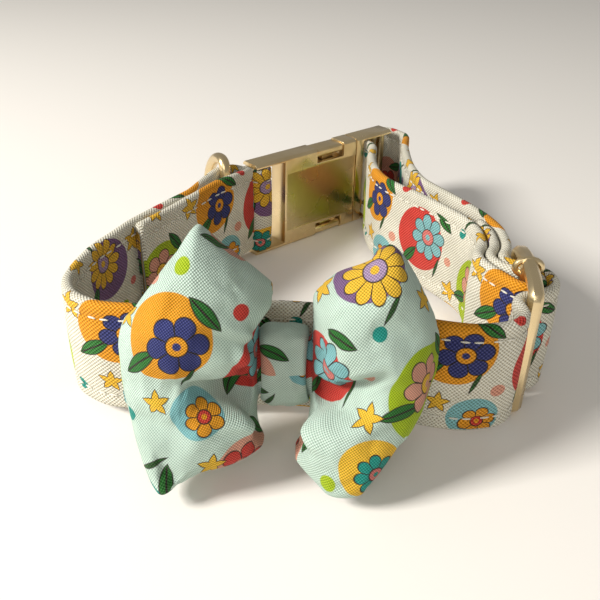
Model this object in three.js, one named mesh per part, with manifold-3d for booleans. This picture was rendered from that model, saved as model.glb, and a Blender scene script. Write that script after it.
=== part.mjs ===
// Small pet collar with a bow tie: a folded fabric strap, a metal side-release buckle,
// a leash ring, a strap slider and a padded bow. Lengths are millimetres, +Z is up.
// Plan view: the bow faces -Y, the buckle is at the back, outward means away from the neck.
import * as THREE from 'three';
import { mergeVertices } from 'three/addons/utils/BufferGeometryUtils.js';
import Module from 'manifold-3d';

// Driving dimensions of the collar
const LOOP_WIDTH = 100;          // across the loop, side to side
const LOOP_DEPTH = 120;          // front of the strap to the buckle corner
const STRAP_WIDTH = 25;          // strap height as it stands
const STRAP_THICKNESS = 2.4;     // folded printed cloth over webbing
const EDGE_ROUND = 0.7;          // rounding along the strap's edges
const LAYER_GAP = 0.3;           // clearance between pieces that touch
const BUCKLE_RAIL = 1.2;         // metal above and below the strap's slot in the buckle
const STRAP_LIFT = BUCKLE_RAIL + LAYER_GAP;   // strap edge above the ground at the buckle
const STATION_STEP = 5;          // longest straight piece of the soft strap
const ARC_STEP = THREE.MathUtils.degToRad(24);

// Buckle
const BUCKLE_LENGTH = 54;
const BUCKLE_DEPTH = 6.4;
const BUCKLE_YAW = THREE.MathUtils.degToRad(41.2);
const BUCKLE_AT = { across: 0.054, back: 0.411 };   // centre, shares of loop width and depth
const BUCKLE_BAR_RADIUS = 1.5;
const BUCKLE_SEAM = 11.8;        // where socket and plug meet, from the buckle's centre
const SOCKET_BAR_INSET = 2.5;    // bar centre from the socket's end
const SOCKET_SLOT = 10.4;         // open length between the arms, bar included
const PLUG_SLOT = 12.1;
const PLUG_BAR_INSET = 5.6;       // strap bar centre from the plug's end
const PLUG_END_BAR_INSET = 1.4;
const PLUG_END_BAR_RADIUS = 1.3;
const SHELL_WALL = 1.3;
const TONGUE_REACH = 24;
const TONGUE_HEIGHT = 10;
const FACE_RECESS = 0.2;
const RECESS_MARGIN = 0.9;
const BUTTON_LENGTH = 10.2;
const BUTTON_CENTRE = 1.1;
const BUTTON_HEIGHT = 2.4;
const BUTTON_DEPTH = 5.8;
const BUTTON_TRAVEL = 1.2;
const BUTTON_INSET = 0.3;
const BUTTON_STEM = 4.4;

// Leash ring
const RING_WIRE = 1.6;           // wire radius
const RING_PLAY = 1.6;           // how much longer its straight bar is than the strap is wide
const RING_FOOT = 0.1;           // its lowest point above the ground
const RING_REACH = 15;           // bar centre to the bow of the ring
const RING_YAW = THREE.MathUtils.degToRad(116);

// Slider
const SLIDER_PITCH = 9.8;        // side bar to centre bar
const SLIDER_BAR = 2.8;
const SLIDER_DEPTH = 3;
const SLIDER_BEVEL = 0.8;
const SLIDER_RAIL = 2.3;
const SLIDER_HEADROOM = 0.7;     // free slot above the strap
const SLIDER_ARCH = 1.3;
const SLIDER_LIFT = 1.5;         // how much higher the strap runs through the slider
const SLIDER_YAW = THREE.MathUtils.degToRad(86);
const SLIDER_AT = { across: 0.467, back: -0.258 };
const EYE_WIDTH = 6.8;           // small oval eye that crosses each end of the centre bar
const EYE_HEIGHT = 5.2;
const EYE_WIRE = 0.7;

// Bow
const BOW_HALF_WIDTH = 29.5;
const BOW_HALF_HEIGHT = 25;
const BOW_HALF_DEPTH = 10;
const BOW_TILT = THREE.MathUtils.degToRad(-12);
const BOW_AT = { across: -0.026, height: 0.64 };
const NECK_HALF_HEIGHT = 6.0;
const NECK_HALF_DEPTH = 3.4;
const KNOT_WIDTH = 8.9;
const KNOT_THICKNESS = 2.0;

const wasm = await Module();
wasm.setup();

// Solid helpers

function toManifold(geometry) {
  const bare = geometry.clone();
  bare.deleteAttribute('normal');
  bare.deleteAttribute('uv');
  const merged = mergeVertices(bare, 1e-4);
  const mesh = new wasm.Mesh({
    numProp: 3,
    vertProperties: new Float32Array(merged.attributes.position.array),
    triVerts: new Uint32Array(merged.index.array),
  });
  return new wasm.Manifold(mesh);
}

function fromManifold(solid) {
  const mesh = solid.getMesh();
  const geometry = new THREE.BufferGeometry();
  geometry.setAttribute('position', new THREE.BufferAttribute(mesh.vertProperties, 3));
  geometry.setIndex(new THREE.BufferAttribute(mesh.triVerts, 1));
  geometry.computeVertexNormals();
  return geometry;
}

function join(...geometries) {
  const solids = geometries.map(toManifold);
  return solids.reduce((sum, solid) => sum.add(solid));
}

// A box given by its lowest and highest corners
function block([x0, y0, z0], [x1, y1, z1]) {
  const box = new THREE.BoxGeometry(x1 - x0, y1 - y0, z1 - z0);
  return box.translate((x0 + x1) / 2, (y0 + y1) / 2, (z0 + z1) / 2);
}

// A box whose long edges, those along X, are chamfered
function chamferedBlock([x0, y0, z0], [x1, y1, z1], chamfer) {
  const outline = new THREE.Shape([
    new THREE.Vector2(y0 + chamfer, z0), new THREE.Vector2(y1 - chamfer, z0),
    new THREE.Vector2(y1, z0 + chamfer), new THREE.Vector2(y1, z1 - chamfer),
    new THREE.Vector2(y1 - chamfer, z1), new THREE.Vector2(y0 + chamfer, z1),
    new THREE.Vector2(y0, z1 - chamfer), new THREE.Vector2(y0, z0 + chamfer),
  ]);
  const prism = new THREE.ExtrudeGeometry(outline, { depth: x1 - x0, bevelEnabled: false });
  const turn = new THREE.Matrix4().makeBasis(
    new THREE.Vector3(0, 1, 0), new THREE.Vector3(0, 0, 1), new THREE.Vector3(1, 0, 0));
  return prism.applyMatrix4(turn).translate(x0, 0, 0);
}

function uprightBar(x, radius, z0, z1) {
  const bar = new THREE.CylinderGeometry(radius, radius, z1 - z0, 12);
  return bar.rotateX(Math.PI / 2).translate(x, 0, (z0 + z1) / 2);
}

// Skins rings of equal point count into one closed body. Each ring is a list of Vector3.
function skin(rings, closed) {
  const count = rings[0].length;
  const positions = rings.flatMap((ring) => ring.flatMap((p) => [p.x, p.y, p.z]));
  const index = [];
  const spans = closed ? rings.length : rings.length - 1;
  for (let i = 0; i < spans; i += 1) {
    const next = (i + 1) % rings.length;
    for (let j = 0; j < count; j += 1) {
      const k = (j + 1) % count;
      const a = i * count + j;
      const b = i * count + k;
      const c = next * count + k;
      const d = next * count + j;
      index.push(a, b, c, a, c, d);
    }
  }
  if (!closed) {
    for (const [end, flip] of [[0, true], [rings.length - 1, false]]) {
      const centre = new THREE.Vector3();
      rings[end].forEach((p) => centre.add(p));
      centre.divideScalar(count);
      const hub = positions.length / 3;
      positions.push(centre.x, centre.y, centre.z);
      for (let j = 0; j < count; j += 1) {
        const a = end * count + j;
        const b = end * count + ((j + 1) % count);
        index.push(...(flip ? [hub, b, a] : [hub, a, b]));
      }
    }
  }
  const geometry = new THREE.BufferGeometry();
  geometry.setAttribute('position', new THREE.Float32BufferAttribute(positions, 3));
  geometry.setIndex(index);
  return faceOut(geometry);
}

// Turns a closed skin round if its faces point inwards
function faceOut(geometry) {
  const p = geometry.attributes.position;
  const tri = geometry.index.array;
  const [a, b, c] = [new THREE.Vector3(), new THREE.Vector3(), new THREE.Vector3()];
  let volume = 0;
  for (let i = 0; i < tri.length; i += 3) {
    a.fromBufferAttribute(p, tri[i]);
    b.fromBufferAttribute(p, tri[i + 1]);
    c.fromBufferAttribute(p, tri[i + 2]);
    volume += a.dot(b.cross(c));
  }
  if (volume < 0) {
    for (let i = 0; i < tri.length; i += 3) [tri[i], tri[i + 1]] = [tri[i + 1], tri[i]];
  }
  geometry.computeVertexNormals();
  return geometry;
}

// Places that other pieces take their own from

const plan = (across, back) => new THREE.Vector2(across * LOOP_WIDTH, back * LOOP_DEPTH);
const polar = (angle) => new THREE.Vector2(Math.cos(angle), Math.sin(angle));
const layerPitch = STRAP_THICKNESS + LAYER_GAP;

const buckleCentre = plan(BUCKLE_AT.across, BUCKLE_AT.back);
const buckleHeight = STRAP_WIDTH + 2 * LAYER_GAP + 2 * BUCKLE_RAIL;
const socketBarX = -BUCKLE_LENGTH / 2 + SOCKET_BAR_INSET;
const plugBarX = BUCKLE_LENGTH / 2 - PLUG_BAR_INSET;
const plugEndBarX = BUCKLE_LENGTH / 2 - PLUG_END_BAR_INSET;
const onBuckle = (x) => buckleCentre.clone().addScaledVector(polar(BUCKLE_YAW), x);

const sliderCentre = plan(SLIDER_AT.across, SLIDER_AT.back);
const onSlider = (x) => sliderCentre.clone().addScaledVector(polar(SLIDER_YAW), x);

// Strap route: a belt of arcs round the bars and soft stations between them.
// A row has its place, and either a radius and a turn (+1 left, -1 right) or neither.

const barWrap = BUCKLE_BAR_RADIUS + LAYER_GAP + STRAP_THICKNESS / 2;
const sliderBarReach = Math.hypot(SLIDER_BAR / 2 - SLIDER_BEVEL, SLIDER_DEPTH / 2);
const sliderWrap = sliderBarReach + LAYER_GAP + STRAP_THICKNESS / 2;
const ringWrap = RING_WIRE + LAYER_GAP + STRAP_THICKNESS / 2;

// Doubled stretch between the socket and the sewn-back end, its middle line.
// across, back: shares of loop width and depth. spread: 1 at the ring pocket, 0 sewn flat.
// ring marks where the leash ring's bar sits.
const DOUBLED = [
  { across: -0.169, back: 0.240, spread: 0.45, lift: 1.5 },
  { across: -0.208, back: 0.188, spread: 1, lift: 2.4, ring: true },
  { across: -0.242, back: 0.137, spread: 0.35, lift: 2.4 },
  { across: -0.272, back: 0.083, spread: 0, lift: 2.2 },
  { across: -0.312, back: 0.027, spread: 0, lift: 2.0 },
  { across: -0.354, back: -0.030, spread: 0, lift: 1.8 },
  { across: -0.388, back: -0.078, spread: 0, lift: 1.7 },
];
const ringRow = DOUBLED.find((row) => row.ring);

// Single strap from the left side round the front to the slider; bow marks the bow's place
const FRONT = [
  { across: -0.424, back: -0.120, lift: 1.6 },
  { across: -0.454, back: -0.180, lift: 1.5 },
  { across: -0.470, back: -0.240, lift: 1.4 },
  { across: -0.472, back: -0.295, lift: 1.3 },
  { across: -0.448, back: -0.338, lift: 1.2 },
  { across: -0.398, back: -0.366, lift: 1.1 },
  { across: -0.320, back: -0.375, lift: 1.1 },
  { across: -0.180, back: -0.364, lift: 1.1 },
  { across: -0.026, back: -0.357, lift: 1.1, bow: true },
  { across: 0.120, back: -0.373, lift: 1.1 },
  { across: 0.240, back: -0.400, lift: 1.1 },
  { across: 0.335, back: -0.413, lift: 1.1 },
  { across: 0.402, back: -0.403, lift: 1.3 },
  { across: 0.431, back: -0.374, lift: 1.4 },
];
const bowRow = FRONT.find((row) => row.bow);

// Outer layer from the slider to the corner at the plug
const OUTER = [
  { across: 0.462, back: -0.130, lift: 1.6 },
  { across: 0.466, back: -0.070, lift: 1.6 },
  { across: 0.452, back: -0.018, lift: 1.6 },
  { across: 0.418, back: 0.050, lift: 1.6 },
  { across: 0.368, back: 0.130, lift: 1.4 },
  { across: 0.328, back: 0.200, lift: 1.1 },
  { across: 0.310, back: 0.290, lift: 0.8 },
  { across: 0.308, back: 0.384, lift: 0.5 },
  { across: 0.314, back: 0.470, lift: 0.3 },
  { across: 0.324, back: 0.545, lift: 0.1 },
];
const CORNER = { beyondBar: 1.4, radius: 5 };

// Inner layer from the plug to where it lies along the outer one
const INNER = [
  { across: 0.214, back: 0.450, lift: 0.1 },
  { across: 0.203, back: 0.386, lift: 0.3 },
  { across: 0.202, back: 0.316, lift: 0.6 },
  { across: 0.212, back: 0.240, lift: 0.9 },
  { across: 0.240, back: 0.180, lift: 1.2 },
  { across: 0.286, back: 0.125, lift: 1.4 },
  { across: 0.333, back: 0.062, lift: 1.6 },
];
const TAIL_STATIONS = 3;         // stations of the outer layer that the tail reaches

const soft = ({ across, back, lift }) => ({ at: plan(across, back), radius: 0, turn: 0, lift });
const wrap = (at, radius, turn, lift = 0) => ({ at, radius, turn, lift });

// Moves each station of a line sideways: positive to the left of the way it runs
function sideways(rows, offset) {
  return rows.map((row, i) => {
    const from = rows[Math.max(i - 1, 0)].at;
    const to = rows[Math.min(i + 1, rows.length - 1)].at;
    const along = to.clone().sub(from).normalize();
    const left = new THREE.Vector2(-along.y, along.x);
    const amount = typeof offset === 'function' ? offset(i) : offset;
    return { ...row, at: row.at.clone().addScaledVector(left, amount) };
  });
}

function routeRows() {
  const doubled = DOUBLED.map(soft);
  const halfPocket = (i) => {
    const flat = layerPitch / 2;
    return flat + (ringWrap - flat) * DOUBLED[i].spread;
  };
  const sewnBack = sideways(doubled, (i) => halfPocket(i)).reverse();
  const outside = sideways(doubled, (i) => -halfPocket(i));
  const outer = OUTER.map(soft);
  const beside = sideways(outer.slice(0, TAIL_STATIONS), 2 * layerPitch).reverse();
  const tail = sideways(outer.slice(0, TAIL_STATIONS + 1), layerPitch).slice(0, TAIL_STATIONS);
  const frontBar = onSlider(-SLIDER_PITCH);
  const backBar = onSlider(SLIDER_PITCH);
  return [
    ...sewnBack,
    wrap(onBuckle(socketBarX), barWrap, -1),
    ...outside,
    ...FRONT.map(soft),
    wrap(frontBar, sliderWrap, -1, SLIDER_LIFT),
    wrap(sliderCentre, sliderWrap + layerPitch, 1, SLIDER_LIFT),
    wrap(backBar, sliderWrap, -1, SLIDER_LIFT),
    ...outer,
    wrap(onBuckle(plugEndBarX + CORNER.beyondBar), CORNER.radius, 1),
    wrap(onBuckle(plugBarX), barWrap, 1),
    ...INNER.map(soft),
    ...beside,
    wrap(backBar, sliderWrap + 2 * layerPitch, 1, SLIDER_LIFT),
    wrap(sliderCentre, sliderWrap, 1, SLIDER_LIFT),
    wrap(backBar, sliderWrap + layerPitch, -1, SLIDER_LIFT),
    ...tail,
  ];
}

// Direction of the tangent line from one row's circle to the next one's
function heading(from, to) {
  const dx = to.at.x - from.at.x;
  const dy = to.at.y - from.at.y;
  const k = to.turn * to.radius - from.turn * from.radius;
  const square = dx * dx + dy * dy;
  const run = Math.sqrt(Math.max(square - k * k, 0));
  return new THREE.Vector2(run * dx + k * dy, run * dy - k * dx).divideScalar(square).normalize();
}

// Points of the route: arcs in small steps, soft stations as they are
function routePoints(rows) {
  const points = [];
  rows.forEach((row, i) => {
    if (row.radius === 0) {
      points.push(new THREE.Vector3(row.at.x, row.at.y, row.lift));
      return;
    }
    const entry = heading(rows[i - 1], row);
    const leave = heading(row, rows[i + 1]);
    const start = Math.atan2(entry.y, entry.x);
    let sweep = Math.atan2(leave.y, leave.x) - start;
    while (row.turn * sweep < 0) sweep += row.turn * 2 * Math.PI;
    const steps = Math.max(2, Math.ceil(Math.abs(sweep) / ARC_STEP));
    for (let s = 0; s <= steps; s += 1) {
      const angle = start + (sweep * s) / steps;
      const arm = row.turn * row.radius;
      points.push(new THREE.Vector3(
        row.at.x + arm * Math.sin(angle), row.at.y - arm * Math.cos(angle), row.lift));
    }
  });
  return points;
}

// Long soft stretches get more stations on a smooth curve
function smoothLine(points) {
  const curve = new THREE.CatmullRomCurve3(points, false, 'centripetal');
  const line = [];
  for (let i = 0; i < points.length - 1; i += 1) {
    const pieces = Math.max(1, Math.round(points[i].distanceTo(points[i + 1]) / STATION_STEP));
    for (let s = 0; s < pieces; s += 1) {
      line.push(curve.getPoint((i + s / pieces) / (points.length - 1)));
    }
  }
  line.push(points[points.length - 1]);
  return line;
}

// Section of a strap with rounded edges, mitred where the line turns
function strapRing(line, i, width, thickness, base) {
  const before = line[Math.max(i - 1, 0)];
  const after = line[Math.min(i + 1, line.length - 1)];
  const inward = line[i].clone().sub(before).setZ(0).normalize();
  const onward = after.clone().sub(line[i]).setZ(0).normalize();
  if (i === 0) inward.copy(onward);
  if (i === line.length - 1) onward.copy(inward);
  const along = inward.clone().add(onward).normalize();
  const side = new THREE.Vector3(-along.y, along.x, 0).divideScalar(Math.max(along.dot(inward), 0.8));
  const half = thickness / 2;
  const corners = [
    [-half, EDGE_ROUND], [-half + EDGE_ROUND, 0], [half - EDGE_ROUND, 0], [half, EDGE_ROUND],
    [half, width - EDGE_ROUND], [half - EDGE_ROUND, width],
    [-half + EDGE_ROUND, width], [-half, width - EDGE_ROUND],
  ];
  return corners.map(([n, z]) => new THREE.Vector3(
    line[i].x + side.x * n, line[i].y + side.y * n, base + line[i].z + z));
}

function makeStrap() {
  const line = smoothLine(routePoints(routeRows()));
  const rings = line.map((_, i) => strapRing(line, i, STRAP_WIDTH, STRAP_THICKNESS, STRAP_LIFT));
  return skin(rings, false);
}

// Buckle pieces, in the buckle's own frame: X from socket to plug, -Y to the neck

const halfDepth = BUCKLE_DEPTH / 2;
const halfLength = BUCKLE_LENGTH / 2;
const cavityHalfDepth = halfDepth - SHELL_WALL;
const EDGE_CHAMFER = 0.7;
const notchDepth = BUTTON_INSET + BUTTON_HEIGHT + BUTTON_TRAVEL + LAYER_GAP;
const CUT = 5;                   // how far a cutter runs past a face

function strapSlot(x0, x1) {
  return toManifold(block([x0, -halfDepth - CUT, BUCKLE_RAIL],
    [x1, halfDepth + CUT, buckleHeight - BUCKLE_RAIL]));
}

function makeSocket() {
  const seam = BUCKLE_SEAM - LAYER_GAP / 2;
  const slotEnd = -halfLength + SOCKET_SLOT;
  let body = toManifold(chamferedBlock(
    [-halfLength, -halfDepth, 0], [seam, halfDepth, buckleHeight], EDGE_CHAMFER));
  body = body.subtract(strapSlot(-halfLength - CUT, slotEnd));
  body = body.add(toManifold(uprightBar(
    socketBarX, BUCKLE_BAR_RADIUS, BUCKLE_RAIL / 2, buckleHeight - BUCKLE_RAIL / 2)));
  const cavityTop = notchDepth + LAYER_GAP;
  body = body.subtract(toManifold(block(
    [seam - TONGUE_REACH - LAYER_GAP, -cavityHalfDepth, cavityTop],
    [seam + CUT, cavityHalfDepth, buckleHeight - cavityTop])));
  const halfButton = BUTTON_LENGTH / 2 + LAYER_GAP;
  const x0 = BUTTON_CENTRE - halfButton;
  const x1 = BUTTON_CENTRE + halfButton;
  for (const [z0, z1] of [[-CUT, notchDepth], [buckleHeight - notchDepth, buckleHeight + CUT]]) {
    body = body.subtract(toManifold(block([x0, -halfDepth - CUT, z0], [x1, halfDepth + CUT, z1])));
  }
  const stem = BUTTON_STEM / 2 + LAYER_GAP;
  body = body.subtract(toManifold(block(
    [BUTTON_CENTRE - stem, -cavityHalfDepth, notchDepth - CUT],
    [BUTTON_CENTRE + stem, cavityHalfDepth, buckleHeight - notchDepth + CUT])));
  body = body.subtract(toManifold(block(
    [slotEnd + RECESS_MARGIN, -halfDepth - CUT, notchDepth + RECESS_MARGIN],
    [seam + CUT, -halfDepth + FACE_RECESS, buckleHeight - notchDepth - RECESS_MARGIN])));
  return fromManifold(body);
}

function makePlug() {
  const seam = BUCKLE_SEAM + LAYER_GAP / 2;
  const slotStart = halfLength - PLUG_SLOT;
  let body = toManifold(chamferedBlock(
    [seam, -halfDepth, 0], [halfLength, halfDepth, buckleHeight], EDGE_CHAMFER));
  body = body.subtract(strapSlot(slotStart, halfLength + CUT));
  const z0 = BUCKLE_RAIL / 2;
  const z1 = buckleHeight - BUCKLE_RAIL / 2;
  body = body.add(toManifold(uprightBar(plugBarX, BUCKLE_BAR_RADIUS, z0, z1)));
  body = body.add(toManifold(uprightBar(plugEndBarX, PLUG_END_BAR_RADIUS, z0, z1)));
  const tongueHalf = cavityHalfDepth - LAYER_GAP;
  const middle = buckleHeight / 2;
  body = body.add(toManifold(block(
    [seam - TONGUE_REACH, -tongueHalf, middle - TONGUE_HEIGHT / 2],
    [seam + 1, tongueHalf, middle + TONGUE_HEIGHT / 2])));
  return fromManifold(body);
}

// Push button with its stem, made for the lower edge, base plane at Z = 0
function makeButton() {
  const head = chamferedBlock(
    [-BUTTON_LENGTH / 2, -BUTTON_DEPTH / 2, 0], [BUTTON_LENGTH / 2, BUTTON_DEPTH / 2, BUTTON_HEIGHT], 0.5);
  const stemHalf = cavityHalfDepth - LAYER_GAP;
  const stemTop = buckleHeight / 2 - TONGUE_HEIGHT / 2 - BUTTON_TRAVEL - 2 * LAYER_GAP - BUTTON_INSET;
  const stem = block([-BUTTON_STEM / 2, -stemHalf, BUTTON_HEIGHT / 2],
    [BUTTON_STEM / 2, stemHalf, stemTop]);
  return fromManifold(join(head, stem));
}

// Slider, in its own frame: X along the strap, +Y outward, base plane at Z = 0

function makeSlider() {
  const slotTop = STRAP_LIFT + SLIDER_LIFT + STRAP_WIDTH + SLIDER_HEADROOM;
  const end = SLIDER_PITCH + SLIDER_BAR / 2;
  const topZ = slotTop + SLIDER_RAIL;
  const CORNER_CUT = 1.6;
  const frame = new THREE.Shape();
  frame.moveTo(-end + CORNER_CUT, 0);
  frame.lineTo(end - CORNER_CUT, 0);
  frame.lineTo(end, CORNER_CUT);
  frame.lineTo(end, topZ - 2 * CORNER_CUT);
  frame.quadraticCurveTo(end, topZ + SLIDER_ARCH / 2, 0, topZ + SLIDER_ARCH);
  frame.quadraticCurveTo(-end, topZ + SLIDER_ARCH / 2, -end, topZ - 2 * CORNER_CUT);
  frame.lineTo(-end, CORNER_CUT);
  frame.closePath();
  const inner = SLIDER_BAR / 2;
  const far = SLIDER_PITCH - inner;
  for (const sign of [-1, 1]) {
    const hole = new THREE.Path();
    hole.moveTo(sign * inner, SLIDER_RAIL);
    hole.lineTo(sign * far, SLIDER_RAIL);
    hole.lineTo(sign * far, slotTop - CORNER_CUT / 2);
    hole.lineTo(sign * (far - CORNER_CUT / 2), slotTop);
    hole.lineTo(sign * inner, slotTop + SLIDER_ARCH / 2);
    hole.closePath();
    frame.holes.push(hole);
  }
  const plate = new THREE.ExtrudeGeometry(frame, {
    depth: SLIDER_DEPTH - 2 * SLIDER_BEVEL, bevelEnabled: true, bevelThickness: SLIDER_BEVEL,
    bevelSize: SLIDER_BEVEL, bevelOffset: -SLIDER_BEVEL, bevelSegments: 1, curveSegments: 6,
  });
  plate.rotateX(Math.PI / 2).translate(0, SLIDER_DEPTH / 2 - SLIDER_BEVEL, 0);
  const eye = new THREE.TorusGeometry(1, 1, 7, 18);
  const p = eye.attributes.position;
  const bigY = EYE_WIDTH / 2 - EYE_WIRE;
  const bigZ = EYE_HEIGHT / 2 - EYE_WIRE;
  const eyeZ = slotTop + EYE_WIRE + 0.6;
  for (let i = 0; i < p.count; i += 1) {
    const angle = Math.atan2(p.getY(i), p.getX(i));
    const out = Math.hypot(p.getX(i), p.getY(i)) - 1;
    const side = p.getZ(i);
    p.setXYZ(i, side * EYE_WIRE, Math.cos(angle) * (bigY + out * EYE_WIRE),
      eyeZ + Math.sin(angle) * (bigZ + out * EYE_WIRE));
  }
  return fromManifold(toManifold(plate).add(toManifold(eye)));
}

// Leash ring: a straight bar in the strap's pocket and a half-round bow

const ringHalf = (STRAP_WIDTH + RING_PLAY) / 2 + RING_WIRE;
const ringMiddle = RING_FOOT + RING_WIRE + ringHalf;

function makeRing() {
  const path = [];
  const BAR_STEPS = 4;
  const BOW_STEPS = 16;
  const ROUND = 1.6;
  for (let i = 0; i <= BAR_STEPS; i += 1) {
    const z = THREE.MathUtils.lerp(-(ringHalf - ROUND), ringHalf - ROUND, i / BAR_STEPS);
    path.push(new THREE.Vector3(0, 0, z));
  }
  for (let i = 0; i <= BOW_STEPS; i += 1) {
    const angle = Math.PI / 2 - (Math.PI * i) / BOW_STEPS;
    const straight = ROUND;
    path.push(new THREE.Vector3(
      straight + (RING_REACH - straight) * Math.cos(angle), 0, ringHalf * Math.sin(angle)));
  }
  const SIDES = 10;
  const rings = path.map((point, i) => {
    const before = path[(i + path.length - 1) % path.length];
    const after = path[(i + 1) % path.length];
    const along = after.clone().sub(before).normalize();
    const across = new THREE.Vector3(0, 1, 0);
    const out = new THREE.Vector3().crossVectors(along, across);
    return Array.from({ length: SIDES }, (_, j) => {
      const angle = (2 * Math.PI * (j + 0.5)) / SIDES;
      return point.clone()
        .addScaledVector(across, RING_WIRE * Math.cos(angle))
        .addScaledVector(out, RING_WIRE * Math.sin(angle));
    });
  });
  return skin(rings, true);
}

// Bow, in its own frame: X across, Z up, the front is -Y.
// x: share of the half width. top, bottom: shares of the half height.
// depth: share of the half depth. forward: how far the middle stands forward, same share.
// fold: how deep the horizontal fold cuts into the front, share of the depth.
const BOW_SECTIONS = [
  { x: -1.00, top: 0.30, bottom: 0.14, depth: 0.10, forward: 0.55, fold: 0 },
  { x: -0.97, top: 0.42, bottom: -0.08, depth: 0.30, forward: 0.58, fold: 0 },
  { x: -0.90, top: 0.54, bottom: -0.36, depth: 0.52, forward: 0.62, fold: 0 },
  { x: -0.82, top: 0.66, bottom: -0.62, depth: 0.74, forward: 0.68, fold: 0.04 },
  { x: -0.74, top: 0.77, bottom: -0.77, depth: 0.92, forward: 0.70, fold: 0.10 },
  { x: -0.64, top: 0.94, bottom: -0.73, depth: 1.00, forward: 0.68, fold: 0.16 },
  { x: -0.53, top: 1.12, bottom: -0.67, depth: 1.00, forward: 0.64, fold: 0.22 },
  { x: -0.43, top: 0.99, bottom: -0.62, depth: 0.98, forward: 0.58, fold: 0.28 },
  { x: -0.33, top: 0.84, bottom: -0.57, depth: 0.92, forward: 0.50, fold: 0.34 },
  { x: -0.25, top: 0.69, bottom: -0.52, depth: 0.74, forward: 0.36, fold: 0.36 },
  { x: -0.20, top: 0.57, bottom: -0.45, depth: 0.56, forward: 0.24, fold: 0.32 },
  { x: -0.17, top: 0.48, bottom: -0.38, depth: 0.50, forward: 0.16, fold: 0.25 },
  { x: 0.17, top: 0.48, bottom: -0.42, depth: 0.50, forward: 0.16, fold: 0.25 },
  { x: 0.20, top: 0.54, bottom: -0.50, depth: 0.58, forward: 0.24, fold: 0.32 },
  { x: 0.25, top: 0.64, bottom: -0.60, depth: 0.76, forward: 0.36, fold: 0.36 },
  { x: 0.31, top: 0.75, bottom: -0.69, depth: 0.92, forward: 0.50, fold: 0.34 },
  { x: 0.38, top: 0.83, bottom: -0.77, depth: 0.98, forward: 0.60, fold: 0.26 },
  { x: 0.48, top: 0.90, bottom: -0.76, depth: 1.00, forward: 0.64, fold: 0.16 },
  { x: 0.58, top: 0.98, bottom: -0.66, depth: 1.00, forward: 0.66, fold: 0.10 },
  { x: 0.67, top: 0.98, bottom: -0.54, depth: 0.94, forward: 0.66, fold: 0.06 },
  { x: 0.76, top: 0.79, bottom: -0.42, depth: 0.80, forward: 0.64, fold: 0.03 },
  { x: 0.84, top: 0.62, bottom: -0.27, depth: 0.58, forward: 0.60, fold: 0 },
  { x: 0.90, top: 0.48, bottom: -0.12, depth: 0.34, forward: 0.58, fold: 0 },
  { x: 0.94, top: 0.34, bottom: 0.04, depth: 0.10, forward: 0.56, fold: 0 },
];
const NECK = { x: 0.17 };
const BOW_SIDES = 20;
const LOW_REACH = 1.2;           // how far the lower tips swing forward, share of the depth
const BACK_DEPTH = 0.7;          // the back is flatter than the front
// The lobes swell over the knot by this much, less so above it on the right
const OVERHANG = { reach: 10.4, over: 6, full: 0.25, fade: 0.5, upperRight: 0.45 };

// Depth along a soft, slightly squared oval; the angle starts at the front
const squared = (angle) => Math.sign(Math.cos(angle)) * Math.pow(Math.abs(Math.cos(angle)), 0.8);

function bowRing(row) {
  const inNeck = Math.abs(row.x) <= NECK.x;
  const top = inNeck ? NECK_HALF_HEIGHT : row.top * BOW_HALF_HEIGHT;
  const bottom = inNeck ? -NECK_HALF_HEIGHT : row.bottom * BOW_HALF_HEIGHT;
  const depth = inNeck ? NECK_HALF_DEPTH : row.depth * BOW_HALF_DEPTH;
  const forward = inNeck ? 0 : row.forward * BOW_HALF_DEPTH;
  const middle = (top + bottom) / 2;
  const half = (top - bottom) / 2;
  const ring = [];
  for (let j = 0; j < BOW_SIDES; j += 1) {
    const angle = (2 * Math.PI * j) / BOW_SIDES;
    const up = Math.sin(angle);
    const front = Math.cos(angle);
    const crease = front > 0 ? 1 - row.fold * Math.exp(-Math.pow(up / 0.3, 2)) : 1;
    const z = middle + half * up;
    const low = inNeck ? 0 : Math.max(0, -z / BOW_HALF_HEIGHT);
    const puff = front > 0 || inNeck ? depth : BACK_DEPTH * depth;
    const y = -forward - LOW_REACH * BOW_HALF_DEPTH * low * low
      - puff * squared(angle) * crease;
    const above = Math.max(0, Math.abs(z) - NECK_HALF_HEIGHT - KNOT_THICKNESS - LAYER_GAP);
    const clear = Math.min(1, (Math.abs(row.x) - NECK.x) / (OVERHANG.full - NECK.x));
    const near = clear * Math.max(0, 1 - Math.abs(row.x) / OVERHANG.fade);
    const share = row.x > 0 && z > 0 ? OVERHANG.upperRight : 1;
    const lean = OVERHANG.reach * share * Math.min(1, above / OVERHANG.over) * near;
    ring.push(new THREE.Vector3(row.x * BOW_HALF_WIDTH - Math.sign(row.x) * lean, y, z));
  }
  return ring;
}

function makeBow() {
  return skin(BOW_SECTIONS.map(bowRing), false);
}

// Knot band that gathers the middle of the bow
function makeKnot() {
  const inY = NECK_HALF_DEPTH + LAYER_GAP;
  const inZ = NECK_HALF_HEIGHT + LAYER_GAP;
  const half = KNOT_WIDTH / 2;
  const rings = [];
  for (let i = 0; i < BOW_SIDES; i += 1) {
    const angle = (2 * Math.PI * i) / BOW_SIDES;
    const ring = [];
    const profile = [[-half, 0], [half, 0], [half, 0.55], [half * 0.8, 1], [-half * 0.8, 1], [-half, 0.55]];
    for (const [x, out] of profile) {
      const grow = out * KNOT_THICKNESS;
      ring.push(new THREE.Vector3(
        x, -squared(angle) * (inY + grow), Math.sin(angle) * (inZ + grow)));
    }
    rings.push(ring);
  }
  return skin(rings, true);
}

// Assembly

const printedCloth = { color: 0xcdcbbe, roughness: 0.85, metalness: 0 };
const bowCloth = { color: 0xc6d8d0, roughness: 0.8, metalness: 0 };
const goldMetal = { color: 0xb7a27a, roughness: 0.22, metalness: 1 };

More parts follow.
